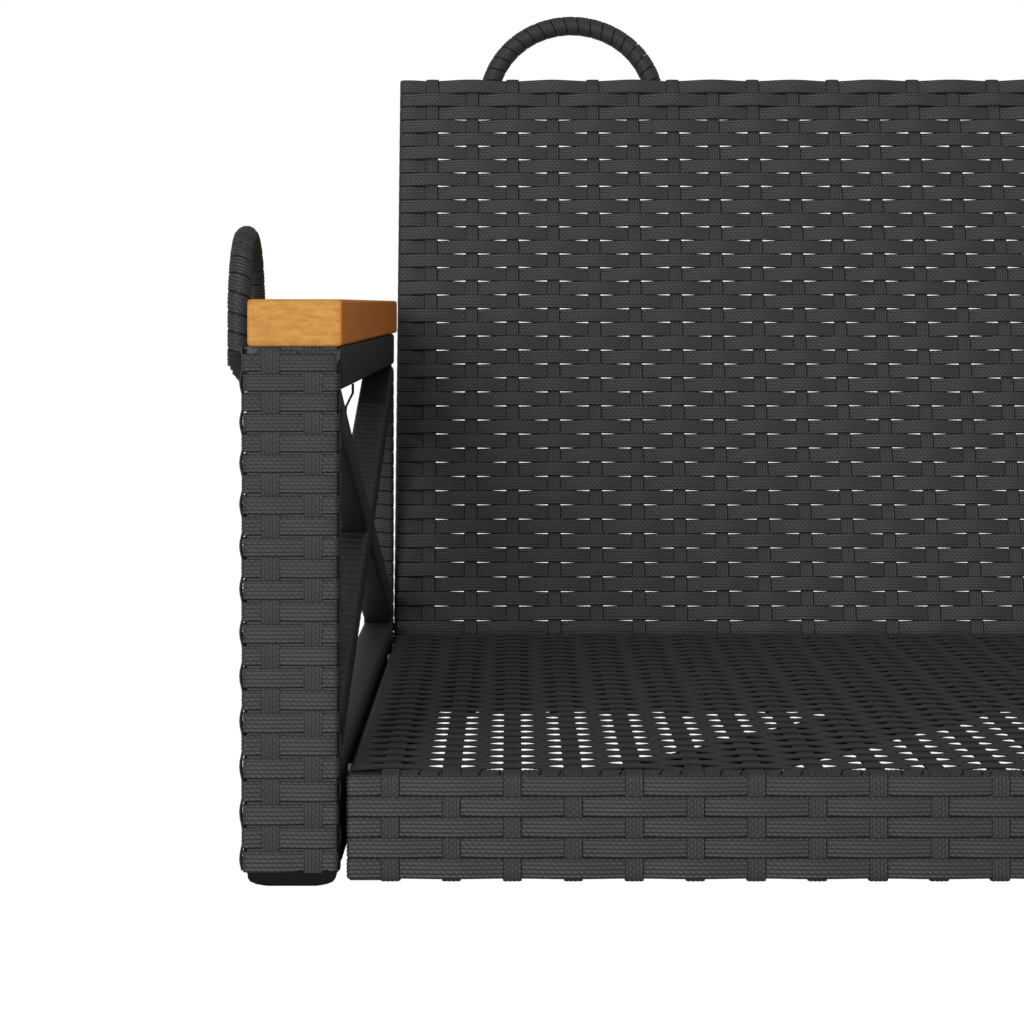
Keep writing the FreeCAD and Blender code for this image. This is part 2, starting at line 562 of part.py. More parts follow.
# The back stands off the seat's rear on spacers cut to its slope.
for x in BACK_BOLT_X:
    y_in = REAR - D["Weave"] - D["Rail"]
    depth_at = D["BackFootY"] + (BACK_BOLT_Z - D["BackFootZ"]) * math.tan(tilt)
    reach = (D["Weave"] + D["Rail"]) / math.cos(tilt)
    back_bolts.append(bolt((x, y_in, BACK_BOLT_Z), (0, 1, 0), depth_at + reach - y_in + 7, "back_bolt"))
    blank = rod("Bolt", "30", (x, REAR, BACK_BOLT_Z), (0, 1, 0), name="spacer_blank")
    hole = rod("0.5*Bolt", "34", (x, REAR - 2, BACK_BOLT_Z), (0, 1, 0), name="spacer_hole")
    solid = box(("40", "60", "80"), (x - 20, 0, w0 - 20), frame=BACK, name="spacer_trim")
    spacers.append(cut(cut(blank, [hole], "spacer_bored"), [solid], "spacer"))
    nuts.append(nut((x, depth_at + reach + 1.8, BACK_BOLT_Z), (0, 1, 0), "nut"))

keep("bolts_side", *side_bolts)
keep("bolts_back", *back_bolts)
keep("nuts", *nuts)
keep("back_spacers", *spacers)

screws = []
for sign in (-1, 1):
    for y in (125.0, 430.0):
        x = sign * (ARM_IN + D["ArmWidth"] / 2)
        z = D["ArmTop"] - D["ArmRail"]
        head = rod("Screw", "2.2", (x, y, z - 2.2), (0, 0, 1), name="screw_head")
        shank = rod("0.5*Screw", "ArmRail + 11", (x, y, z), (0, 0, 1), name="screw_shank")
        screws.append(fuse([head, shank], "screw"))
keep("armrest_screws", *screws)

# ---------------------------------------------------------------- checks and export
doc.recompute()
bad = []
for obj in doc.Objects:
    if "Invalid" in obj.State or "Error" in obj.State:
        bad.append("%s: %s" % (obj.Name, obj.State))
for label, objs in PARTS:
    for obj in objs:
        if obj.Shape.isNull() or not obj.Shape.isValid() or obj.Shape.Volume <= 0:
            bad.append("%s: no valid shape" % label)
if bad:
    raise RuntimeError("; ".join(bad))

os.makedirs("parts", exist_ok=True)
total = None
for label, objs in PARTS:
    shapes = []
    for obj in objs:
        shapes.extend(obj.Shape.Solids)
    shape = shapes[0] if len(shapes) == 1 else Part.makeCompound(shapes)
    shape.exportStep("parts/%s.step" % label)
    box_all = shape.optimalBoundingBox()
    if total is None:
        total = FreeCAD.BoundBox(box_all)
    else:
        total.add(box_all)
    print("%-26s solids %d volume %.1f" % (label, len(shapes), shape.Volume))
print("nodes", len(PARTS), "box", total)
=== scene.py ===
import json
import math

import bmesh
import bpy
import numpy as np
from mathutils import Matrix, Vector

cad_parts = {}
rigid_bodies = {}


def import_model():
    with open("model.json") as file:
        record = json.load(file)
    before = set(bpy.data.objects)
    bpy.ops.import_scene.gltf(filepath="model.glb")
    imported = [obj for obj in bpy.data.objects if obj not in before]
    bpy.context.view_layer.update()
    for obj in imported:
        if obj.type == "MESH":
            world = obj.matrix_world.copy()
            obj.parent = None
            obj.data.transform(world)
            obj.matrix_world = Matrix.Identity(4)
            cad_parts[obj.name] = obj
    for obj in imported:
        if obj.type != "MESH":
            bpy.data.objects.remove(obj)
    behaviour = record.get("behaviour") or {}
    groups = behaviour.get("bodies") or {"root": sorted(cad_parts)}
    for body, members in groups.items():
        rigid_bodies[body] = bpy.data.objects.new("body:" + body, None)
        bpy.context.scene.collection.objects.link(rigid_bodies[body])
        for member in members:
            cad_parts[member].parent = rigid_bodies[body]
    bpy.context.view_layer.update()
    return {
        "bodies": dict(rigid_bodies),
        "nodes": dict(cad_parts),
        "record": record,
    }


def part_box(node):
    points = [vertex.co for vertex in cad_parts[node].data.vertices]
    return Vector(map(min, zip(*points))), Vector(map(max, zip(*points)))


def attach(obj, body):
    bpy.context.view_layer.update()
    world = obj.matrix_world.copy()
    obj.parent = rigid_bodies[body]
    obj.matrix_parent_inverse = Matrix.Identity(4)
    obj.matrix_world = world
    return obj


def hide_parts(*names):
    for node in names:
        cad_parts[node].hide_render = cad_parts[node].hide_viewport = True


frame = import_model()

BODY = next(iter(frame["bodies"]))

bl_info = {
    "name": "Woven porch swing",
    "version": (1, 0, 0),
    "blender": (4, 5, 0),
    "location": "3D View > Sidebar > Swing",
    "description": "Weaves and finishes a hanging garden bench round its tube frame",
    "category": "Object",
}

MM = 0.001
_, SEAT_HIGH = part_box("seat_weave")
APRON_LOW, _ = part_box("seat_apron_front")
_, REAR_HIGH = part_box("seat_apron_rear")
POST_LOW, POST_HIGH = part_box("arm_post_weave_left")
SEAT_HALF = SEAT_HIGH.x
FRONT = APRON_LOW.y
REAR = REAR_HIGH.y
STAKES = 41


# ------------------------------------------------------------------ settings
def length_setting(name, description, default, low):
    """A length, its default and its lowest value given in millimetres."""
    return bpy.props.FloatProperty(name=name, description=description, default=default * MM,
                                   min=low * MM, subtype="DISTANCE", unit="LENGTH")


def colour_setting(name, description, default):
    return bpy.props.FloatVectorProperty(name=name, description=description, default=default,
                                         size=3, min=0.0, max=1.0, subtype="COLOR")


class SwingSizes(bpy.types.PropertyGroup):
    strip_width: length_setting(
        "Strip width", "Width of the flat rattan strip in the rows", 8.0, 1)
    stake_width: length_setting(
        "Stake width", "Width of the strips that the rows pass over and under", 7.4, 1)
    strip_thickness: length_setting(
        "Strip thickness", "Thickness of every rattan strip", 0.72, 0.2)
    stake_pitch: length_setting(
        "Stake pitch", "Distance from one stake to the next", 23.89, 5)
    seat_pitch: length_setting(
        "Seat row pitch", "Distance from one row to the next on the seat", 8.293, 2)
    back_pitch: length_setting(
        "Back row pitch", "Distance from one row to the next up the back", 8.35, 2)
    apron_pitch: length_setting(
        "Apron row pitch", "Distance from one row to the next on the aprons", 8.06, 2)
    seat_wave: length_setting(
        "Seat wave", "How far a row of the seat rises and dips", 0.85, 0)
    back_wave: length_setting(
        "Back wave", "How far a row of the back rises and dips", 1.40, 0)
    tight_wave: length_setting(
        "Tight weave wave", "How far a row rises and dips on aprons and posts", 0.70, 0)
    stake_wave: length_setting(
        "Stake wave", "How far a stake rises over a row", 0.22, 0)
    wrap_pitch: length_setting(
        "Wrap pitch", "Advance of one turn of strip round a tube", 7.9, 2)


class SwingColours(bpy.types.PropertyGroup):
    rattan: colour_setting(
        "Rattan", "Colour of the woven strips", (0.0315, 0.0328, 0.0348))
    wood_light: colour_setting(
        "Light wood", "Early wood of the armrests", (0.55, 0.283, 0.062))
    wood_dark: colour_setting(
        "Dark wood", "Late wood and pores of the armrests", (0.41, 0.162, 0.025))
    # Painted light: colour of the warm bounce light painted on the armrests' inner sides.
    wood_inner: colour_setting(
        "Inner wood", "Warmer tone of the armrests' inner sides", (0.80, 0.235, 0.030))
    steel: colour_setting(
        "Frame", "Powder coat of the tubes", (0.012, 0.012, 0.013))


# ------------------------------------------------------------------ node tree
class Sock:
    """A node socket, or a number, that can be used in sums."""

    def __init__(self, tree, value):
        self.tree, self.value = tree, value

    def _math(self, operation, *others):
        return self.tree.node("ShaderNodeMath", {"operation": operation}, self, *others)

    def __add__(self, other):
        return self._math("ADD", other)

    def __radd__(self, other):
        return self + other

    def __sub__(self, other):
        return self._math("SUBTRACT", other)

    def __rsub__(self, other):
        return self.tree.node("ShaderNodeMath", {"operation": "SUBTRACT"}, other, self)

    def __mul__(self, other):
        return self._math("MULTIPLY", other)

    def __rmul__(self, other):
        return self * other

    def sine(self):
        return self._math("SINE")

    def size(self):
        return self._math("ABSOLUTE")

    def power(self, other):
        return self._math("POWER", other)

    def clamp(self):
        return self.tree.node("ShaderNodeClamp", {}, self)


class Finish:
    """A material under construction."""

    def __init__(self, name):
        self.material = bpy.data.materials.new(name)
        self.material.use_nodes = True
        self.nodes = self.material.node_tree.nodes
        self.links = self.material.node_tree.links
        self.shader = self.nodes["Principled BSDF"]

    def feed(self, socket, value):
        if isinstance(value, Sock):
            self.links.new(value.value, socket)
        elif value is not None:
            socket.default_value = value

    def node(self, kind, settings, *values, out=0, **named):
        """Any node: its settings first, then its sockets, by order or by name."""
        made = self.nodes.new(kind)
        for key, value in settings.items():
            setattr(made, key, value)
        for index, value in enumerate(values):
            self.feed(made.inputs[index], value)
        for key, value in named.items():
            self.feed(made.inputs[key.replace("_", " ")], value)
        return Sock(self, made.outputs[out])

    def mix(self, factor, first, second):
        made = self.nodes.new("ShaderNodeMix")
        made.data_type = "RGBA"
        self.feed(made.inputs[0], factor)
        self.feed(made.inputs[6], first)
        self.feed(made.inputs[7], second)
        return Sock(self, made.outputs[2])

    def place(self, scale=(1, 1, 1), turn=(0, 0, 0)):
        """Object coordinates, stretched and turned."""
        coords = self.node("ShaderNodeTexCoord", {}, out=3)
        return self.node("ShaderNodeMapping", {}, coords, Rotation=turn, Scale=scale)

    def parts(self, vector):
        """The three numbers of a vector."""
        split = self.nodes.new("ShaderNodeSeparateXYZ")
        self.links.new(vector.value, split.inputs[0])
        return [Sock(self, part) for part in split.outputs]

    def finish(self, **sockets):
        for key, value in sockets.items():
            self.feed(self.shader.inputs[key.replace("_", " ")], value)
        return self.material


def shade(colour, gain):
    return tuple(c * gain for c in colour) + (1.0,)


RIBS, STAMPS, STAMP_SLANT = 5, 3.2, 50.0
# Distance from a strip's middle, in strip widths, where the painted shadow between neighbouring
# strips begins.
GAP_SHADE_START = 0.422
ARM_INNER_X = 0.4976


def rattan_finish():
    """Extruded plastic strip: lengthwise ribs with a fine slanted stamp, with painted highlights
    and shade on the relief and painted shadow along its edges.
    """
    base = bpy.context.scene.swing_colours.rattan
    f = Finish("rattan strip")
    along, across, _ = f.parts(f.node("ShaderNodeTexCoord", {}, out=2))
    ribs = (across * (RIBS * 2 * math.pi) - math.pi / 2).sine() * 0.5 + 0.5
    stamp = (along * (STAMPS * 2 * math.pi) - across * STAMP_SLANT).sine() * 0.5 + 0.5
    grain = f.node("ShaderNodeTexNoise", {}, f.place((900, 900, 900)), Scale=1.0, Detail=2.0)
    drift = f.node("ShaderNodeTexNoise", {}, f.place((28, 28, 28)), Scale=1.0, Detail=2.0)
    relief = ribs * 0.6 + stamp * ribs * 0.5 + grain * 0.08
    normal = f.node("ShaderNodeBump", {}, Strength=1.0, Distance=0.00040, Height=relief)
    # Painted highlight and shade: the tops of the ribs and stamped dashes are coloured lighter and
    # the grooves darker, standing in for how light falls on the relief.
    tone = f.mix(ribs * 0.6 + stamp * ribs * 0.38, shade(base, 0.55), shade(base, 1.5))
    tone = f.mix(drift.power(1.5) * 0.55, tone, shade(base, 0.72))
    # Painted shadow: the strip's long edges are darkened almost to black, standing in for the
    # shade in the gaps between neighbouring rows.
    edge = (((across - 0.5).size() - GAP_SHADE_START) * 40).clamp()
    tone = f.mix(edge * 0.85, tone, shade(base, 0.10))
    rough = 0.50 + drift * 0.10 - ribs * 0.06
    return f.finish(Base_Color=tone, Roughness=rough, Normal=normal, Specular_IOR_Level=0.42)


def wood_finish():
    """Oiled hardwood with straight grain along the armrest, and painted warm bounce light on its
    inner sides.
    """
    colours = bpy.context.scene.swing_colours
    f = Finish("oiled wood")
    warp = f.node("ShaderNodeTexNoise", {}, f.place((9, 2.2, 9)), Scale=1.0, Detail=3.0)
    lines = f.node("ShaderNodeTexNoise", {}, f.place((150, 7, 420)), Scale=1.0, Detail=5.0,
                   Roughness=0.6, Distortion=0.6)
    rings = f.node("ShaderNodeTexWave", {"bands_direction": "Z"},
                   f.place((12, 1.2, 95), (0, 0.12, 0.0)),
                   Scale=1.0, Distortion=5.0, Detail=3.0, Detail_Scale=1.2, out=1)
    pores = f.node("ShaderNodeTexNoise", {}, f.place((1500, 60, 1500)), Scale=1.0, Detail=2.0)
    mask = (rings * 0.15 + (lines - 0.5) * 2.4 + warp * 0.7 + 0.05).clamp()
    tone = f.mix(mask, colours.wood_dark[:] + (1.0,), colours.wood_light[:] + (1.0,))
    speck = ((pores - 0.62) * 5.0).clamp()
    tone = f.mix(speck * 0.5, tone, shade(colours.wood_dark, 0.7))
    # Painted light: the armrests' inner sides get a lighter, redder tone, standing in for warm
    # light bounced onto these sides.
    side = ((ARM_INNER_X - f.parts(f.place())[0].size()) * 1100).clamp()
    tone = f.mix(side * 0.75, tone, colours.wood_inner[:] + (1.0,))
    height = lines * 0.6 - speck * 0.5
    normal = f.node("ShaderNodeBump", {}, Strength=0.25, Distance=0.0003, Height=height)
    return f.finish(Base_Color=tone, Roughness=0.55 + speck * 0.2 + warp * 0.08, Normal=normal,
                    Specular_IOR_Level=0.22)


def steel_finish():
    """Powder coat with a slight orange peel."""
    base = bpy.context.scene.swing_colours.steel
    f = Finish("powder coat")
    peel = f.node("ShaderNodeTexNoise", {}, f.place((700, 700, 700)), Scale=1.0, Detail=2.0)
    cloud = f.node("ShaderNodeTexNoise", {}, f.place((14, 14, 14)), Scale=1.0, Detail=3.0)
    normal = f.node("ShaderNodeBump", {}, Strength=0.25, Distance=0.0002, Height=peel)
    tone = f.mix(cloud, shade(base, 0.8), shade(base, 1.3))
    return f.finish(Base_Color=tone, Roughness=0.45 + cloud * 0.15, Normal=normal)


def glide_finish():
    """Moulded plastic of the feet, scuffed low down."""
    f = Finish("moulded plastic")
    wear = f.node("ShaderNodeTexNoise", {}, f.place((120, 120, 400)), Scale=1.0, Detail=4.0)
    fine = f.node("ShaderNodeTexNoise", {}, f.place((1800, 1800, 1800)), Scale=1.0, Detail=1.0)
    tone = f.mix(wear.power(3.0), (0.003, 0.003, 0.0033, 1), (0.010, 0.010, 0.0105, 1))
    normal = f.node("ShaderNodeBump", {}, Strength=0.2, Distance=0.0001, Height=fine)
    return f.finish(Base_Color=tone, Roughness=0.5 + wear * 0.25, Normal=normal,
                    Specular_IOR_Level=0.08)


def zinc_finish():
    """Zinc-plated fasteners with a brushed, slightly stained face."""
    f = Finish("zinc plate")
    turn = f.node("ShaderNodeTexNoise", {}, f.place((90, 2400, 2400)), Scale=1.0, Detail=2.0)
    stain = f.node("ShaderNodeTexNoise", {}, f.place((60, 60, 60)), Scale=1.0, Detail=3.0)
    tone = f.mix(stain, (0.50, 0.50, 0.50, 1), (0.68, 0.67, 0.64, 1))
    normal = f.node("ShaderNodeBump", {}, Strength=0.15, Distance=0.0001, Height=turn)
    return f.finish(Base_Color=tone, Roughness=0.28 + turn * 0.2, Normal=normal, Metallic=1.0)


FINISHES = {}


def finish_for(slot_name):
    makers = {"rattan": rattan_finish, "wood": wood_finish, "frame_steel": steel_finish,
              "foot_plastic": glide_finish, "fastener": zinc_finish}
    if slot_name not in FINISHES:
        FINISHES[slot_name] = makers[slot_name]()
    return FINISHES[slot_name]


# ------------------------------------------------------------------ bench work
def only(*objects):
    bpy.ops.object.select_all(action="DESELECT")
    for obj in objects:
        obj.select_set(True)
    bpy.context.view_layer.objects.active = objects[0]


def pick(obj, test):
    """In edit mode, select the vertices whose place passes a test."""
    mesh = bmesh.from_edit_mesh(obj.data)
    for vert in mesh.verts:
        vert.select = bool(test(vert.co, vert.index))
    mesh.select_flush_mode()
    bmesh.update_edit_mesh(obj.data)


def pick_ends(obj):
    """In edit mode, select the two end faces of a straight strip."""
    bpy.ops.mesh.select_all(action="DESELECT")
    mesh = bmesh.from_edit_mesh(obj.data)
    for face in mesh.faces:
        face.select_set(len(face.verts) > 4)
    bmesh.update_edit_mesh(obj.data)


def section(outline):
    """A filled outline in the YZ plane at X = 0: pairs of (outward, sideways)."""
    count = len(outline)
    bpy.ops.object.select_all(action="DESELECT")
    bpy.ops.mesh.primitive_circle_add(vertices=count, radius=1.0, fill_type="NGON")
    obj = bpy.context.active_object
    bpy.ops.object.mode_set(mode="EDIT")
    bpy.context.tool_settings.mesh_select_mode = (True, False, False)
    for index, (out, side) in enumerate(outline):
        pick(obj, lambda co, i: i == index)
        here = obj.data.vertices[index].co
        shift = Vector((0.0, out, side)) - here
        bpy.ops.transform.translate(value=shift)
    return obj


def strip_outline(width, thick, ribs):
    """Cross-section of a flat strip, crowned, and ribbed where it shows close by."""
    half, low, edge = width / 2, -thick / 2, 0.55 * thick
    top = thick / 2
    points = [(low, half - 0.15 * edge), (0.15 * thick, half)]
    if ribs:
        steps = 2 * ribs
        span = half - 0.6 * edge
        for i in range(steps + 1):
            side = span - i * 2 * span / steps
            crown = 0.12 * thick * (1 - (side / half) ** 2)
            lift = 0.0 if i % 2 else -0.30 * thick
            points.append((top + crown + lift, side))
    else:
        points += [(top * 0.86, half - edge), (top * 1.12, 0.0), (top * 0.86, -half + edge)]
    points += [(0.15 * thick, -half), (low, -half + 0.15 * edge)]
    return points


def strip(name, width, thick, stations, lift=None, drift=None, ribs=0, ends=True):
    """A straight strip along +X, drawn out station by station from its section."""
    lift = lift or (lambda s: 0.0)
    drift = drift or (lambda s: 0.0)
    obj = section(strip_outline(width, thick, ribs))
    obj.name = obj.data.name = name
    bpy.ops.mesh.select_all(action="SELECT")
    here = Vector((stations[0], lift(stations[0]), drift(stations[0])))
    bpy.ops.transform.translate(value=here)
    for s in stations[1:]:
        there = Vector((s, lift(s), drift(s)))
        bpy.ops.mesh.extrude_region_move(TRANSFORM_OT_translate={"value": there - here})
        here = there
    bpy.ops.mesh.select_all(action="SELECT")
    bpy.ops.mesh.normals_make_consistent(inside=False)
    if not ends:
        pick_ends(obj)
        bpy.ops.mesh.delete(type="ONLY_FACE")
    bpy.ops.object.mode_set(mode="OBJECT")
    mesh = obj.data
    while mesh.uv_layers:
        mesh.uv_layers.remove(mesh.uv_layers[0])
    layer = mesh.uv_layers.new(name="strip")
    places = np.zeros(len(mesh.vertices) * 3, np.float32)
    mesh.vertices.foreach_get("co", places)
    places = places.reshape(-1, 3)
    corners = np.zeros(len(mesh.loops), np.int32)
    mesh.loops.foreach_get("vertex_index", corners)
    sway = np.array([drift(float(s)) for s in places[:, 0]])
    flat = np.stack([places[:, 0] / width, (places[:, 2] - sway) / width + 0.5], 1)
    layer.data.foreach_set("uv", flat[corners].astype(np.float32).ravel())
    return obj


NEAREST_JOINTS = 0.00008


class Route:
    """A line of straight runs joined by round corners, with its length."""

    def __init__(self, corners, steps=4):
        points, self.bends = [Vector(corners[0][:2])], []
        length = 0.0

        def go(to):
            nonlocal length
            length += (to - points[-1]).length
            points.append(to)

        for before, corner, after in zip(corners, corners[1:], corners[2:]):
            here, radius = Vector(corner[:2]), corner[2]
            a = (Vector(before[:2]) - here).normalized()
            b = (Vector(after[:2]) - here).normalized()
            half = a.angle(b) / 2
            reach = radius / math.tan(half)
            centre = here + (a + b).normalized() * (radius / math.sin(half))
            start, end = here + a * reach, here + b * reach
            go(start)
            sweep = (start - centre).angle_signed(end - centre)
            marks = [length]
            for i in range(1, steps + 1):
                arm = (start - centre).copy()
                arm.rotate(Matrix.Rotation(-sweep * i / steps, 2))
                go(centre + arm)
                marks.append(length)
            self.bends.append(marks)
        go(Vector(corners[-1][:2]))
        self.points, self.length = points, length

    @classmethod
    def through(cls, points):
        """A line straight through the points, without bends."""
        route = cls.__new__(cls)
        route.points, route.bends = [Vector(p) for p in points], []
        route.length = sum((q - p).length for p, q in zip(route.points, route.points[1:]))
        return route

    def stations(self, extra=()):
        """Places along the line where a strip needs a joint."""
        marks = {0.0, self.length}
        for bend in self.bends:
            marks.update(bend)
        marks.update(s for s in extra if 0 < s < self.length)
        out = []
        for s in sorted(marks):
            if not out or s - out[-1] > NEAREST_JOINTS:
                out.append(s)
        return out


def bend(obj, route):
    """Lay a straight strip along a route in the XY plane."""
    line = bpy.data.curves.new(obj.name + "_line", "CURVE")
    line.dimensions = "2D"
    spline = line.splines.new("POLY")
    spline.points.add(len(route.points) - 1)
    for point, (x, y) in zip(spline.points, route.points):
        point.co = (x, y, 0.0, 1.0)
    guide = bpy.data.objects.new(obj.name + "_line", line)
    bpy.context.collection.objects.link(guide)
    only(obj)
    mod = obj.modifiers.new("bend", "CURVE")
    mod.object, mod.deform_axis = guide, "POS_X"
    bpy.ops.object.modifier_apply(modifier=mod.name)
    bpy.data.objects.remove(guide)
    bpy.data.curves.remove(line)


def repeat(obj, count, offset, weld=0.0):
    """Copies of a shape at an even offset, joined up where they meet if asked."""
    only(obj)
    mod = obj.modifiers.new("copies", "ARRAY")
    mod.use_relative_offset, mod.use_constant_offset = False, True
    mod.count, mod.constant_offset_displace = count, offset
    if weld:
        mod.use_merge_vertices, mod.merge_threshold = True, weld
    bpy.ops.object.modifier_apply(modifier=mod.name)


def twin(obj, name):
    """A copy with its own mesh."""
    copy = obj.copy()
    copy.data = obj.data.copy()
    copy.name = copy.data.name = name
    bpy.context.collection.objects.link(copy)
    return copy


def join(name, *objects):
    only(*objects)
    if len(objects) > 1:
        bpy.ops.object.join()
    obj = bpy.context.active_object
    obj.name = obj.data.name = name
    return obj


def lay(obj, matrix):
    """Put a piece in its place for good: the place goes into the mesh."""
    only(obj)
    obj.matrix_world = matrix
    bpy.ops.object.transform_apply(location=True, rotation=True, scale=True)
    return obj


def axes(x, y, z, origin=(0, 0, 0)):
    """The frame whose own axes point these ways."""
    m = Matrix((x, y, z)).transposed().to_4x4()
    m.translation = origin
    return m


def wobble(obj, amount, size, direction):
    """Slight unevenness of hand work."""
    cloud = bpy.data.textures.new(obj.name + "_uneven", "CLOUDS")
    cloud.noise_scale = size
    only(obj)
    mod = obj.modifiers.new("uneven", "DISPLACE")
    mod.texture, mod.texture_coords = cloud, "GLOBAL"
    mod.direction, mod.strength, mod.mid_level = direction, amount, 0.5
    bpy.ops.object.modifier_apply(modifier=mod.name)
    bpy.data.textures.remove(cloud)


def hand_over(obj, slot_name, *nodes):
    """Smooth a finished piece, give it its finish and fix it to the frame."""
    only(obj)
    bpy.ops.object.shade_smooth_by_angle(angle=math.radians(50))
    obj.data.materials.clear()
    obj.data.materials.append(finish_for(slot_name))
    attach(obj, BODY)
    if nodes:
        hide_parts(*nodes)
    return obj


def cosine(places, amount):
    """A wave that is up at some places and down at others: [(s, sign)]."""
    places = sorted(places)

    def height(s):
        if s <= places[0][0] or s >= places[-1][0]:
            near = places[0] if s <= places[0][0] else places[-1]
            reach = abs(s - near[0]) / (0.5 * pitch)
            return amount * near[1] * math.cos(math.pi / 2 * min(reach, 1.0))
        for (s0, g0), (s1, g1) in zip(places, places[1:]):
            if s <= s1:
                blend = 0.5 - 0.5 * math.cos(math.pi * (s - s0) / (s1 - s0))
                return amount * (g0 + (g1 - g0) * blend)
        return 0.0

    pitch = places[1][0] - places[0][0]
    return height


def wave_stations(places, steps):
    """Joints for such a wave: steps between neighbours, and a tail at each end."""
    places = sorted(s for s, sign in places)
    pitch = places[1] - places[0]
    marks = []
    for a, b in zip(places, places[1:]):
        marks += [a + (b - a) * i / steps for i in range(steps)]
    marks.append(places[-1])
    for i in range(1, steps // 2 + 1):
        marks += [places[0] - pitch * i / steps, places[-1] + pitch * i / steps]
    return marks


def stake_places():
    pitch = bpy.context.scene.swing_sizes.stake_pitch
    return [(k - (STAKES - 1) / 2) * pitch for k in range(STAKES)]


# ------------------------------------------------------------------ weaving
ROW_STEPS, STAKE_STEPS = 6, 2


def weave_rows(name, route, sizes, wave, count, pitch, width, ribs=0, over=False):
    """Rows of both kinds along a route: even rows pass under (or over) the even stakes."""
    made = []
    middle = route.length / 2
    for kind, sign in (("a", 1 if over else -1), ("b", -1 if over else 1)):
        places = [(middle + x, sign * (1 if k % 2 == 0 else -1))
                  for k, x in enumerate(stake_places())]
        stations = route.stations(wave_stations(places, ROW_STEPS))
        thick = sizes.strip_thickness * (1.5 if ribs else 1)
        row = strip(name + "_" + kind, width, thick, stations, cosine(places, wave), ribs=ribs)
        first = 0 if kind == "a" else 1
        rows = (count - first + 1) // 2
        repeat(row, rows, (0, 0, 2 * pitch))
        lay(row, Matrix.Translation((0, 0, first * pitch)))
        bend(row, route)
        made.append(row)
    return made


def weave_stakes(name, route, rows, sizes, ribs=0, under=False):
    """Stakes of both kinds along a route; even stakes are on top of (or under) even rows."""
    made = []
    xs = stake_places()
    for kind, sign in (("a", -1 if under else 1), ("b", 1 if under else -1)):
        places = [(s, sign * (1 if m % 2 == 0 else -1)) for m, s in enumerate(rows)]
        stations = route.stations(wave_stations(places, STAKE_STEPS))
        stake = strip(name + "_" + kind, sizes.stake_width, sizes.strip_thickness, stations,
                      cosine(places, sizes.stake_wave), ribs=ribs)
        first = 0 if kind == "a" else 1
        repeat(stake, (STAKES - first + 1) // 2, (0, 0, 2 * sizes.stake_pitch))
        lay(stake, Matrix.Translation((0, 0, xs[first])))
        bend(stake, route)
        made.append(stake)
    return made


SEAT_LEVEL = SEAT_HIGH.z - 1.55 * MM
ROWS_SEAT, ROWS_APRON, ROWS_BACK = 55, 5, 44
SEAT_STRIP, APRON_STRIP, BACK_STRIP = 8.07 * MM, 8.22 * MM, 8.33 * MM
APRON_FACE = 1.25 * MM
UNEVEN, UNEVEN_SIZE = 0.5 * MM, 0.05
FIRST_ROW = 14.3 * MM
TOP_APRON_Z = SEAT_HIGH.z - 6.6 * MM
RECLINE = math.radians(16.0)
BACK_FOOT = Vector((0, FRONT + 496.6 * MM, 44 * MM))
BACK_UP, BACK_DOWN, BACK_HALF = 329.3 * MM, 36.8 * MM, 496.8 * MM
BACK_TOP_ROW = BACK_UP - 2.9 * MM
BACK_X = Vector((1, 0, 0))
BACK_V = Vector((0, math.cos(RECLINE), -math.sin(RECLINE)))
BACK_W = Vector((0, math.sin(RECLINE), math.cos(RECLINE)))


class SWING_OT_seat_rows(bpy.types.Operator):
    """Weave the rows of the seat, which pass round both side rails"""
    bl_idname = "swing.seat_rows"
    bl_label = "Seat rows"

    def execute(self, context):
        sizes = context.scene.swing_sizes
        low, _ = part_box("seat_side_wrap_left")
        edge, inside = SEAT_HALF - 0.5 * MM, SEAT_HALF - 21.9 * MM
        bottom, level = low.z + 0.5 * MM, SEAT_LEVEL
        side = [(-inside, 38 * MM), (-inside, bottom, 1.5 * MM), (-edge, bottom, 1.5 * MM),
                (-edge, level, 2.6 * MM)]
        route = Route(side + [(-x, y, *r) for x, y, *r in reversed(side)])
        rows = weave_rows("seat_rows", route, sizes, sizes.seat_wave,
                          ROWS_SEAT, sizes.seat_pitch, SEAT_STRIP, over=True)
        nodes = [("seat_weave", "seat_side_wrap_left"), ("seat_side_wrap_right",)]
        last = FRONT + FIRST_ROW + (ROWS_SEAT - 1) * sizes.seat_pitch
        for row, gone in zip(rows, nodes):
            lay(row, axes((1, 0, 0), (0, 0, 1), (0, -1, 0), (0, last, 0)))
            wobble(row, UNEVEN, UNEVEN_SIZE, "Y")
            hand_over(row, "rattan", *gone)
        return {"FINISHED"}


class SWING_OT_seat_stakes(bpy.types.Operator):
    """Weave the stakes that run over the seat and down both aprons"""
    bl_idname = "swing.seat_stakes"
    bl_label = "Seat stakes"

    def execute(self, context):
        sizes = context.scene.swing_sizes
        front = [(FRONT + 18 * MM, 1.6 * MM), (FRONT + APRON_FACE, 1.6 * MM, 2 * MM),
                 (FRONT + APRON_FACE, SEAT_LEVEL, 3 * MM)]
        back = [(FRONT + REAR - y, z, *r) for y, z, *r in reversed(front)]
        route = Route(front + back)
        lip = route.bends[1][-1] - 3 * MM - APRON_FACE
        up = route.bends[0][-1] - 3.6 * MM
        apron = [up + TOP_APRON_Z - i * sizes.apron_pitch for i in reversed(range(ROWS_APRON))]
        seat = [lip + FIRST_ROW + i * sizes.seat_pitch for i in range(ROWS_SEAT)]
        far = [route.length - s for s in reversed(apron)]
        for stake in weave_stakes("seat_stakes", route, apron + seat + far, sizes, ribs=4):
            lay(stake, axes((0, 1, 0), (0, 0, 1), (1, 0, 0)))
            hand_over(stake, "rattan")
        return {"FINISHED"}


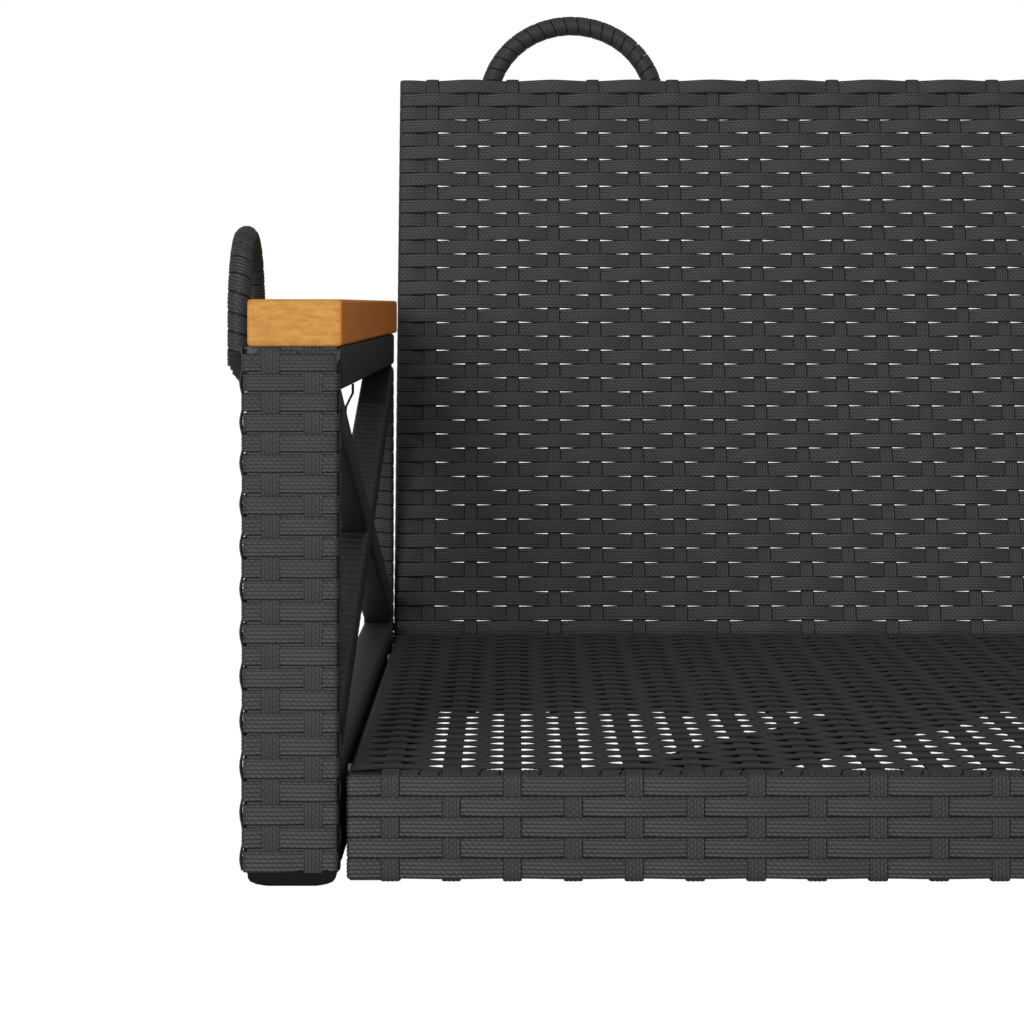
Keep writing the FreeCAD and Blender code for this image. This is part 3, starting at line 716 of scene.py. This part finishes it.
class SWING_OT_aprons(bpy.types.Operator):
    """Weave the rows of the front and rear aprons"""
    bl_idname = "swing.aprons"
    bl_label = "Apron rows"

    def execute(self, context):
        sizes = context.scene.swing_sizes
        edge = SEAT_HALF - 0.6 * MM
        side = [(-edge, -3.2 * MM), (-edge, -APRON_FACE, 1.2 * MM)]
        route = Route(side + [(-x, v, *r) for x, v, *r in reversed(side)])
        for name, y, way in (("apron_front", FRONT, 1), ("apron_rear", REAR, -1)):
            rows = weave_rows(name, route, sizes, sizes.tight_wave,
                              ROWS_APRON, sizes.apron_pitch, APRON_STRIP, ribs=5)
            for row in rows:
                lay(row, axes((way, 0, 0), (0, -way, 0), (0, 0, -1), (0, y, TOP_APRON_Z)))
            apron = join(name + "_rows", *rows)
            hand_over(apron, "rattan", "seat_" + name)
        return {"FINISHED"}


class SWING_OT_back_rows(bpy.types.Operator):
    """Weave the rows of the back, which pass round both stiles"""
    bl_idname = "swing.back_rows"
    bl_label = "Back rows"

    def execute(self, context):
        sizes = context.scene.swing_sizes
        edge, face, behind = BACK_HALF + 0.1 * MM, -1.5 * MM, -23.2 * MM
        side = [(-edge + 20 * MM, behind), (-edge, behind, 1.5 * MM), (-edge, face, 2.4 * MM)]
        route = Route(side + [(-x, v, *r) for x, v, *r in reversed(side)])
        rows = weave_rows("back_rows", route, sizes, sizes.back_wave,
                          ROWS_BACK, sizes.back_pitch, BACK_STRIP)
        top = BACK_FOOT + BACK_W * BACK_TOP_ROW
        nodes = [("back_weave", "back_side_wrap_left"), ("back_side_wrap_right",)]
        for row, gone in zip(rows, nodes):
            lay(row, axes(BACK_X, -BACK_V, -BACK_W, top))
            wobble(row, UNEVEN, UNEVEN_SIZE, "Z")
            hand_over(row, "rattan", *gone)
        return {"FINISHED"}


class SWING_OT_back_stakes(bpy.types.Operator):
    """Weave the stakes of the back, over its top rail and under its bottom rail"""
    bl_idname = "swing.back_stakes"
    bl_label = "Back stakes"

    def execute(self, context):
        sizes = context.scene.swing_sizes
        face, behind = 1.5 * MM, 23.2 * MM
        top, low = BACK_UP + 1.9 * MM, -BACK_DOWN + 0.5 * MM
        route = Route([(behind - 2 * MM, low), (face, low, 1.2 * MM), (face, top, 1.8 * MM),
                       (behind, top, 1.6 * MM), (behind, top - 14.5 * MM)])
        top_row = route.bends[0][-1] + BACK_TOP_ROW - (low + 1.2 * MM)
        rows = [top_row - i * sizes.back_pitch for i in reversed(range(ROWS_BACK))]
        stakes = weave_stakes("back_stakes", route, rows, sizes, under=True)
        for stake, gone in zip(stakes, (("back_top_wrap",), ())):
            lay(stake, axes(BACK_V, BACK_W, BACK_X, BACK_FOOT))
            hand_over(stake, "rattan", *gone)
        return {"FINISHED"}


# ------------------------------------------------------------------ arm posts
POST_PITCH = (7.8 * MM, 9.35 * MM)
POST_ROWS = 24
POST_INSET = 0.45 * MM
POST_STAKE = 7.2 * MM
SPOT_A, SPOT_B = 10.8 * MM, 27.5 * MM


class SWING_OT_posts(bpy.types.Operator):
    """Weave the sleeves of both front posts: rings of strip and upright stakes"""
    bl_idname = "swing.posts"
    bl_label = "Post weave"

    def execute(self, context):
        sizes = context.scene.swing_sizes
        outer, front = POST_LOW.x - POST_INSET, POST_LOW.y + POST_INSET
        w = POST_HIGH.x - POST_LOW.x - 2 * POST_INSET + 0.4 * MM
        d = POST_HIGH.y - POST_LOW.y - 2 * POST_INSET
        ring = Route([(w * 0.84, -d), (0, -d, 1.6 * MM), (0, 0, 1.6 * MM), (w, 0, 1.6 * MM),
                      (w, -d, 1.6 * MM), (w * 0.85, -d)], steps=3)
        bends = [(b[0] + b[-1]) / 2 for b in ring.bends]
        left_side, right_side = (bends[0] + bends[1]) / 2, (bends[2] + bends[3]) / 2
        marks = [(bends[0] - SPOT_B, 1), (bends[0] - SPOT_A, -1), (left_side, 1),
                 (bends[1] + SPOT_A, -1), (bends[1] + SPOT_B, 1), (right_side, -1)]
        rings = []
        for kind, sign in (("a", 1), ("b", -1)):
            signed = [(s, sign * g) for s, g in marks if s > 0]
            wave = cosine(signed, 0.75 * sizes.tight_wave)
            stations = ring.stations(wave_stations(signed, 4))
            turn = strip("ring_" + kind, sizes.strip_width, sizes.strip_thickness, stations,
                         wave, ribs=5)
            bend(turn, ring)
            rings.append(turn)
        top = POST_HIGH.z - 2.6 * MM
        span = top - (POST_LOW.z + 0.6 * MM)
        first, last = POST_PITCH
        raw = [first + (last - first) * i / (POST_ROWS - 1) for i in range(POST_ROWS)]
        bounds = [top]
        for p in raw:
            bounds.append(bounds[-1] - p * span / sum(raw))
        middles = [(a + b) / 2 for a, b in zip(bounds, bounds[1:])]
        placed = []
        for i, (a, b) in enumerate(zip(bounds, bounds[1:])):
            row = twin(rings[i % 2], "ring_%02d" % i)
            high = (a - b) / (sizes.strip_width + 0.7 * MM)
            slip = 0.3 * (0.25 * MM * math.sin(i * 2.4))
            place = axes((1, 0, 0), (0, -1, 0), (0, 0, -1), (outer + slip, front, middles[i]))
            placed.append(lay(row, place @ Matrix.Diagonal((1, 1, high, 1))))
        for turn in rings:
            bpy.data.objects.remove(turn)
        rows = join("post_rows_left", *placed)

        # each stake: its place, which way is out, which way is sideways, the rings it
        # passes over, how far out it stands and how far it rises and dips
        length = POST_HIGH.z - POST_LOW.z - 0.9 * MM
        spots = [(SPOT_A, 0, (0, -1, 0), (1, 0, 0), 0, 0, 0.45),
                 (SPOT_B, 0, (0, -1, 0), (1, 0, 0), 1, 0, 0.45),
                 (SPOT_A, d, (0, 1, 0), (-1, 0, 0), 1, 0, 0.45),
                 (SPOT_B, d, (0, 1, 0), (-1, 0, 0), 0, 0, 0.45),
                 (0, d / 2, (-1, 0, 0), (0, -1, 0), 1, 0.8 * MM, 0.95),
                 (w, d / 2, (1, 0, 0), (0, 1, 0), 0, 0.3 * MM, 0.95)]
        stakes = []
        for x, y, outward, side, kind, rise, wave_part in spots:
            places = [(POST_HIGH.z - m, (1 if i % 2 == kind else -1))
                      for i, m in enumerate(middles)]
            stations = sorted({0.0, length}
                              | {s for s in wave_stations(places, 4) if 0 < s < length})
            wave = cosine(places, wave_part * sizes.tight_wave)
            stake = strip("post_stake", POST_STAKE, sizes.strip_thickness, stations,
                          lambda s: rise + wave(s), ribs=4)
            stakes.append(lay(stake, axes((0, 0, -1), outward, side,
                                          (outer + x, front + y, POST_HIGH.z))))
        stakes = join("post_stakes_left", *stakes)
        for left, node in ((rows, ("arm_post_weave_left",)), (stakes, ())):
            right = mirror_to_right(left, left.name.replace("left", "right"))
            hand_over(left, "rattan", *node)
            hand_over(right, "rattan", *[n.replace("left", "right") for n in node])
        return {"FINISHED"}


# ------------------------------------------------------------------ wrapping
def wound(name, across, deep, length, sizes, round_bar=False, pitch=None, ribs=0, hand=1):
    """Strip wound round a bar along +X: one turn is drawn, repeated and joined up."""
    pitch = pitch or sizes.wrap_pitch
    turns = max(2, round(length / pitch))
    pitch = length / turns
    thick = sizes.strip_thickness
    a, b = across / 2 - thick / 2, deep / 2 - thick / 2
    if round_bar:
        count = 14
        angles = [2 * math.pi * i / count for i in range(count + 1)]
        loop = Route.through([Vector((a * math.sin(t), a * math.cos(t))) for t in angles])
        stations = [loop.length * i / count for i in range(count + 1)]
    else:
        r = 1.6 * MM
        loop = Route([(-0.3 * a, b), (a, b, r), (a, -b, r), (-a, -b, r), (-a, b, r),
                      (-0.3 * a, b)], steps=2)
        stations = loop.stations()
    turn = strip(name, pitch * 0.97, thick, stations, None,
                 lambda s: hand * pitch * s / loop.length, ribs=ribs, ends=False)
    bend(turn, loop)
    lay(turn, axes((0, 1, 0), (0, 0, 1), (1, 0, 0), (0 if hand > 0 else pitch, 0, 0)))
    repeat(turn, turns, (pitch, 0, 0), weld=0.0002)
    bpy.ops.object.mode_set(mode="EDIT")
    bpy.ops.mesh.select_all(action="DESELECT")
    bpy.ops.mesh.select_non_manifold(extend=False, use_wire=False, use_multi_face=False,
                                     use_non_contiguous=False, use_verts=False)
    bpy.ops.mesh.fill()
    bpy.ops.object.mode_set(mode="OBJECT")
    return turn


def along(obj, start, end, up):
    """Lay a wound bar from one point to another, with its Z towards up."""
    start, end = Vector(start), Vector(end)
    x = (end - start).normalized()
    z = (Vector(up) - x * x.dot(Vector(up))).normalized()
    y = z.cross(x)
    return lay(obj, axes(x, y, z, start))


def strand(name, places, radius):
    """A thin cord through some places, drawn out from a disc."""
    bpy.ops.object.select_all(action="DESELECT")
    bpy.ops.mesh.primitive_circle_add(vertices=8, radius=radius, fill_type="NGON",
                                      location=places[0])
    cord = bpy.context.active_object
    cord.name = cord.data.name = name
    bpy.ops.object.transform_apply(location=True, rotation=True, scale=True)
    bpy.ops.object.mode_set(mode="EDIT")
    bpy.ops.mesh.select_all(action="SELECT")
    for before, after in zip(places, places[1:]):
        step = Vector(after) - Vector(before)
        bpy.ops.mesh.extrude_region_move(TRANSFORM_OT_translate={"value": step})
    bpy.ops.mesh.select_all(action="SELECT")
    bpy.ops.mesh.normals_make_consistent(inside=False)
    bpy.ops.object.mode_set(mode="OBJECT")
    cord.data.uv_layers[0].name = "strip"
    return cord


def mirror_to_right(obj, name):
    """The right-hand twin of a left-hand piece."""
    right = twin(obj, name)
    only(right)
    right.scale = (-1, 1, 1)
    bpy.ops.object.transform_apply(location=False, rotation=False, scale=True)
    bpy.ops.object.mode_set(mode="EDIT")
    bpy.ops.mesh.select_all(action="SELECT")
    bpy.ops.mesh.normals_make_consistent(inside=False)
    bpy.ops.object.mode_set(mode="OBJECT")
    return right


class SWING_OT_arm_wraps(bpy.types.Operator):
    """Wind strip round the rails, rear post and crossed braces of both arms"""
    bl_idname = "swing.arm_wraps"
    bl_label = "Arm wrapping"

    def execute(self, context):
        sizes = context.scene.swing_sizes
        top_low, top_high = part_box("arm_top_rail_left")
        low_low, low_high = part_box("arm_lower_rail_left")
        post_low, post_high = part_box("arm_rear_post_left")
        grow = 2.4 * MM
        slim = post_high.x - post_low.x + grow
        x = (post_low.x + post_high.x) / 2
        made = []

        def member(name, across, deep, start, end, up):
            piece = wound(name, across, deep, (Vector(end) - Vector(start)).length, sizes)
            made.append(along(piece, start, end, up))

        mid_x, mid_z = (top_low.x + top_high.x) / 2, (top_low.z + top_high.z) / 2
        member("wrap_top", top_high.x - top_low.x + grow, top_high.z - top_low.z + grow,
               (mid_x, top_low.y, mid_z), (mid_x, top_high.y + 1 * MM, mid_z), (0, 0, 1))
        low_z = (low_low.z + low_high.z) / 2
        member("wrap_low", slim, low_high.z - low_low.z + grow,
               (x, low_low.y, low_z), (x, low_high.y, low_z), (0, 0, 1))
        post_y = (post_low.y + post_high.y) / 2
        member("wrap_rear", slim, slim, (x, post_y, post_low.z), (x, post_y, post_high.z),
               (0, 1, 0))
        rails = join("arm_wrap_rails_left", *made)

        made.clear()
        for kind in ("rising", "falling"):
            low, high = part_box("arm_brace_%s_left" % kind)
            z0, z1 = low.z + 9 * MM, high.z - 9 * MM
            y0, y1 = low.y + 1 * MM, high.y - 1 * MM
            if kind == "falling":
                y0, y1 = y1, y0
            start, end = Vector((x, y0, z0)), Vector((x, y1, z1))
            if kind == "rising":
                member("wrap_rising", slim, slim, start, end, (0, 0, 1))
            else:
                mid = (start + end) / 2
                way = (end - start).normalized() * 13 * MM
                member("wrap_falling_a", slim, slim - 0.6 * MM, start, mid - way, (0, 0, 1))
                member("wrap_falling_b", slim, slim - 0.6 * MM, mid + way, end, (0, 0, 1))
        line = [(x + 8.6 * MM, FRONT + 86 * MM, 194 * MM),
                (x + 8.4 * MM, FRONT + 89 * MM, 190 * MM),
                (x + 5.4 * MM, FRONT + 90 * MM, 184 * MM),
                (x + 5.0 * MM, FRONT + 91 * MM, 177.5 * MM)]
        made.append(strand("loose_end", line, 0.55 * MM))
        braces = join("arm_wrap_braces_left", *made)
        for left, node in ((rails, "arm_wrap_left"), (braces, None)):
            right = mirror_to_right(left, left.name.replace("left", "right"))
            hand_over(left, "rattan", *([node] if node else []))
            hand_over(right, "rattan", *([node.replace("left", "right")] if node else []))
        return {"FINISHED"}


class SWING_OT_edge_wraps(bpy.types.Operator):
    """Wind strip round the lip rods of the seat and over the top of the posts"""
    bl_idname = "swing.edge_wraps"
    bl_label = "Lip wrapping"

    def execute(self, context):
        sizes = context.scene.swing_sizes
        middle, level = (POST_LOW.y + POST_HIGH.y) / 2, POST_HIGH.z - 3.9 * MM
        cap = wound("post_cap_left", 15.0 * MM, 7 * MM, 34 * MM, sizes, ribs=4)
        along(cap, (POST_LOW.x + 1.6 * MM, middle, level),
              (POST_HIGH.x - 1.6 * MM, middle, level), (0, 0, 1))
        hand_over(mirror_to_right(cap, "post_cap_right"), "rattan")
        hand_over(cap, "rattan")
        for name, inward in (("front", 1.2 * MM), ("rear", -1.2 * MM)):
            low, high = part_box("seat_edge_rod_" + name)
            y, z = (low.y + high.y) / 2 + inward, (low.z + high.z) / 2 + 0.45 * MM
            across = high.z - low.z + 2.0 * MM
            reach = high.x + 5 * MM
            piece = wound("lip_wrap_" + name, across, across, 2 * reach, sizes,
                          round_bar=True, ribs=4)
            along(piece, (-reach, y, z), (reach, y, z), (0, 0, 1))
            hand_over(piece, "rattan")
        return {"FINISHED"}


# ------------------------------------------------------------------ rope loops
def round_points(centre, radius, first, last, count):
    """Points round a centre from one angle to another, in degrees."""
    turn = [math.radians(first + (last - first) * i / count) for i in range(count + 1)]
    return [Vector((centre[0] + radius * math.cos(t), centre[1] + radius * math.sin(t)))
            for t in turn]


LOOP_LEG = 33.5 * MM
LOOP_FOOT = ((0, -17.5), (0.35, -20.6), (1.4, -23.2), (3.4, -25.5), (6.2, -28.0))


def arch_points(half, rise, leg):
    """A loop of three tangent curves on straight legs, in its own plane."""
    side = 0.62 * half if rise > 0.62 * half else 0.5 * rise
    a, b = half - side, rise - side
    drop = (a * a - b * b) / (2 * b)
    angle = math.degrees(math.atan2(drop, a))
    return ([Vector((-half, -leg))] + round_points((-a, 0), side, 180, 180 - angle, 5)
            + round_points((0, -drop), rise + drop, 180 - angle, angle, 12)[1:]
            + round_points((a, 0), side, angle, 0, 5)[1:] + [Vector((half, -leg))])


class SWING_OT_loops(bpy.types.Operator):
    """Wind strip round the four rope loops"""
    bl_idname = "swing.loops"
    bl_label = "Rope loops"

    def execute(self, context):
        sizes = context.scene.swing_sizes
        low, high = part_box("arm_loop_wrap_left")
        centre = (BACK_FOOT + BACK_X * (-394.5 * MM) + BACK_V * (12.5 * MM)
                  + BACK_W * (BACK_UP - 9.7 * MM))
        jobs = [("back_loop", round_points((0, 0), 50 * MM, 169, 11, 30), 11.6 * MM, 7.6 * MM,
                 axes(BACK_X, BACK_W, -BACK_V, centre), -1),
                ("arm_loop", arch_points(LOOP_LEG, 30 * MM, 19 * MM), 9.5 * MM, 7.4 * MM,
                 axes((0, -1, 0), (0, 0, 1), (-1, 0, 0),
                      ((low.x + high.x) / 2, FRONT + 64.5 * MM, 225.2 * MM)), 1)]
        for name, points, outer, pitch, place, hand in jobs:
            route = Route.through(points)
            piece = wound(name + "_wrap_left_turns", outer, outer, route.length, sizes,
                          round_bar=True, pitch=pitch, ribs=4, hand=hand)
            bend(piece, route)
            lay(piece, place)
            if name == "arm_loop":
                feet = []
                turn = [Vector((x * MM, 0, z * MM)) for x, z in LOOP_FOOT]
                for y in (-LOOP_LEG, LOOP_LEG):
                    for first, last in zip(turn, turn[1:]):
                        spot = place.translation + Vector((0, y, 0))
                        over = (last - first).normalized() * 0.9 * MM
                        foot = wound("loop_foot", outer, outer, (last - first).length + 0.9 * MM,
                                     sizes, round_bar=True, pitch=2.2 * MM)
                        feet.append(along(foot, spot + first - over, spot + last, (0, 1, 0)))
                piece = join(piece.name, piece, *feet)
            right = mirror_to_right(piece, name + "_wrap_right_turns")
            hand_over(piece, "rattan", name + "_wrap_left")
            hand_over(right, "rattan", name + "_wrap_right")
        return {"FINISHED"}


# ------------------------------------------------------------------ small parts
# height above the floor, then how far past its top plate in X and in Y, in millimetres
GLIDE_PROFILE = ((6.4, 0, 0), (6.3, 1.4, 2), (3.2, 1.4, 2), (1.8, 0.4, 2), (0.8, -1.9, 1.9),
                 (0.2, -4.9, 1.7), (0.0, -6.6, 1.5))


class SWING_OT_feet(bpy.types.Operator):
    """Mould the glides under the posts"""
    bl_idname = "swing.feet"
    bl_label = "Feet"

    def execute(self, context):
        for group in ("front", "rear"):
            low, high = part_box("feet_" + group)
            post_low, post_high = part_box("arm_%s_post_left" % group)
            mid, top = (post_low + post_high) / 2, high.z - 1 * MM
            wide, deep = post_high.x - post_low.x + 0.6 * MM, post_high.y - post_low.y + 1.9 * MM
            bpy.ops.object.select_all(action="DESELECT")
            bpy.ops.mesh.primitive_plane_add(size=1, location=(mid.x, mid.y, top))
            foot = bpy.context.active_object
            foot.scale = (wide - 4 * MM, deep - 4 * MM, 1)
            bpy.ops.object.transform_apply(location=True, rotation=True, scale=True)
            bpy.ops.object.mode_set(mode="EDIT")
            bpy.ops.mesh.select_all(action="SELECT")
            previous = top
            size = Vector((wide - 4 * MM, deep - 4 * MM))
            for height, grow_x, grow_y in GLIDE_PROFILE:
                target = Vector((wide - 4 * MM + 2 * grow_x * MM, deep - 4 * MM + 2 * grow_y * MM))
                level = low.z + height * MM
                step = (0, 0, level - previous)
                bpy.ops.mesh.extrude_region_move(TRANSFORM_OT_translate={"value": step})
                bpy.ops.transform.resize(value=(target.x / size.x, target.y / size.y, 1),
                                         center_override=(mid.x, mid.y, level))
                previous, size = level, target
            bpy.ops.mesh.select_all(action="SELECT")
            bpy.ops.mesh.normals_make_consistent(inside=False)
            bpy.ops.object.mode_set(mode="OBJECT")
            foot.name = foot.data.name = "glide_%s_left" % group
            right = mirror_to_right(foot, "glide_%s_right" % group)
            hand_over(foot, "foot_plastic", "feet_" + group)
            hand_over(right, "foot_plastic")
        return {"FINISHED"}


class SWING_OT_frame_finish(bpy.types.Operator):
    """Coat the tubes, oil the armrests and plate the fasteners"""
    bl_idname = "swing.frame_finish"
    bl_label = "Frame finishes"

    def execute(self, context):
        slots = {s["node"]: s["material_slot"] for s in frame["record"]["subparts"]}
        for node, obj in frame["nodes"].items():
            finish = finish_for(slots[node])
            if not obj.material_slots:
                obj.data.materials.append(finish)
            for own in obj.material_slots:
                own.material = finish
        return {"FINISHED"}


# ------------------------------------------------------------------ stage
KEY_PLACE, KEY_AIM = Vector((-2.15, -7.0, 1.75)), Vector((-0.1, 0, 0.18))
KEY_SIZE, KEY_POWER = 3.4, 430
SOFT_LIGHT, WHITE = 0.42, 1.02


class SWING_OT_stage(bpy.types.Operator):
    """Set the floor, the studio light and the camera"""
    bl_idname = "swing.stage"
    bl_label = "Stage"

    def execute(self, context):
        bpy.ops.object.select_all(action="DESELECT")
        bpy.ops.mesh.primitive_plane_add(size=30.0, location=(0, 0, -0.0005))
        floor = context.active_object
        floor.name = "floor"
        f = Finish("pale floor")
        f.finish(Base_Color=(0.75, 0.75, 0.75, 1), Roughness=0.9)
        seen = f.node("ShaderNodeLightPath", {})
        white = f.node("ShaderNodeEmission", {}, (1, 1, 1, 1), WHITE)
        both = f.node("ShaderNodeMixShader", {}, seen)
        f.links.new(f.shader.outputs[0], both.value.node.inputs[1])
        f.links.new(white.value, both.value.node.inputs[2])
        f.links.new(both.value, f.nodes["Material Output"].inputs[0])
        floor.data.materials.append(f.material)

        world = bpy.data.worlds.new("studio")
        world.use_nodes = True
        nodes, links = world.node_tree.nodes, world.node_tree.links
        soft = nodes["Background"]
        soft.inputs[0].default_value, soft.inputs[1].default_value = (1, 1, 1, 1), SOFT_LIGHT
        bright = nodes.new("ShaderNodeBackground")
        bright.inputs[0].default_value, bright.inputs[1].default_value = (1, 1, 1, 1), WHITE
        seen, both = nodes.new("ShaderNodeLightPath"), nodes.new("ShaderNodeMixShader")
        links.new(seen.outputs[0], both.inputs[0])
        links.new(soft.outputs[0], both.inputs[1])
        links.new(bright.outputs[0], both.inputs[2])
        links.new(both.outputs[0], nodes["World Output"].inputs[0])
        context.scene.world = world
        context.scene.view_settings.view_transform = "Standard"

        data = bpy.data.lights.new("key", "AREA")
        data.shape, data.size, data.energy = "SQUARE", KEY_SIZE, KEY_POWER
        lamp = bpy.data.objects.new("key", data)
        lamp.location = KEY_PLACE
        lamp.rotation_euler = (KEY_AIM - KEY_PLACE).to_track_quat("-Z", "Y").to_euler()
        context.collection.objects.link(lamp)

        data = bpy.data.cameras.new("camera")
        data.lens, data.sensor_width = 99.98, 36.0
        data.shift_x, data.shift_y = -0.00088, -0.2026
        data.clip_end = 50
        camera = bpy.data.objects.new("camera", data)
        camera.location = (-0.4298, FRONT - 1.111, 0.2273)
        camera.rotation_euler = (math.pi / 2, 0, 0)
        context.collection.objects.link(camera)
        context.scene.camera = camera
        return {"FINISHED"}


STEPS = (SWING_OT_seat_rows, SWING_OT_seat_stakes, SWING_OT_aprons, SWING_OT_back_rows,
         SWING_OT_back_stakes, SWING_OT_posts, SWING_OT_arm_wraps, SWING_OT_edge_wraps,
         SWING_OT_loops, SWING_OT_feet, SWING_OT_frame_finish, SWING_OT_stage)


class SWING_PT_panel(bpy.types.Panel):
    """Sidebar panel with the sizes, the colours and the steps"""
    bl_idname = "SWING_PT_panel"
    bl_label = "Woven porch swing"
    bl_space_type = "VIEW_3D"
    bl_region_type = "UI"
    bl_category = "Swing"

    def draw(self, context):
        for group in (context.scene.swing_sizes, context.scene.swing_colours):
            box = self.layout.box()
            for key in group.__annotations__:
                box.prop(group, key)
        for step in STEPS:
            self.layout.operator(step.bl_idname)


CLASSES = (SwingSizes, SwingColours) + STEPS + (SWING_PT_panel,)


def register():
    for cls in CLASSES:
        bpy.utils.register_class(cls)
    bpy.types.Scene.swing_sizes = bpy.props.PointerProperty(type=SwingSizes)
    bpy.types.Scene.swing_colours = bpy.props.PointerProperty(type=SwingColours)


def unregister():
    del bpy.types.Scene.swing_colours
    del bpy.types.Scene.swing_sizes
    for cls in reversed(CLASSES):
        bpy.utils.unregister_class(cls)


def main():
    register()
    for step in STEPS:
        group, name = step.bl_idname.split(".")
        getattr(getattr(bpy.ops, group), name)()


if __name__ == "__main__":
    main()
